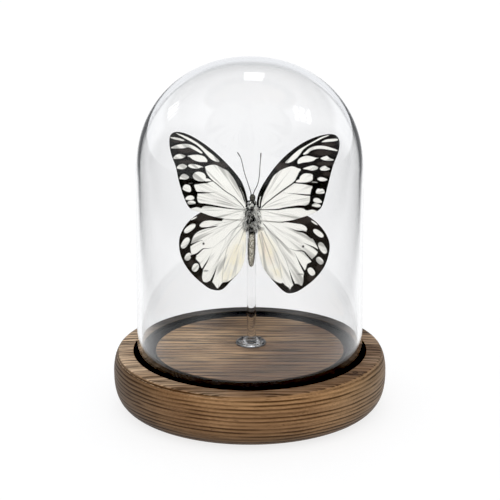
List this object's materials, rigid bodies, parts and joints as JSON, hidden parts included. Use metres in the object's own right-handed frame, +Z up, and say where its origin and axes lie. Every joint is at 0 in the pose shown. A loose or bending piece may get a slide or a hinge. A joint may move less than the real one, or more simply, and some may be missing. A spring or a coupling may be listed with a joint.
{
  "type": "butterfly in glass dome",
  "caption": "Dried butterfly with spread wings fixed in front of a clear rod, under a round-topped glass dome that stands in a channel in a turned wooden base.",
  "frame": {"origin": "on the floor under the middle of the turned wooden base", "axes": "+Z up along the dome's axis; the butterfly's upper side and the front of the object face -Y; +X to the right seen from the front"},
  "size_m": [0.121, 0.121, 0.1575],
  "materials": {
    "oiled_wood": "matt brown oiled wood with fine dark grain",
    "black_rubber": "satin black",
    "dome_glass": "clear polished blown glass",
    "clear_acrylic": "clear polished acrylic",
    "insect_body": "grey and black speckled fuzz over a dry shell",
    "wing_membrane": "matt white scales with black veins, borders and spots",
    "antenna_shell": "dark dry thread-like shell"
  },
  "bodies": {
    "root": {"wooden_base": "oiled_wood", "black_ring": "black_rubber", "glass_dome": "dome_glass", "rod_foot": "clear_acrylic", "clear_rod": "clear_acrylic", "butterfly_body": "insect_body", "left_forewing": "wing_membrane", "right_forewing": "wing_membrane", "left_hindwing": "wing_membrane", "right_hindwing": "wing_membrane", "left_antenna": "antenna_shell", "right_antenna": "antenna_shell"}
  },
  "joints": []
}
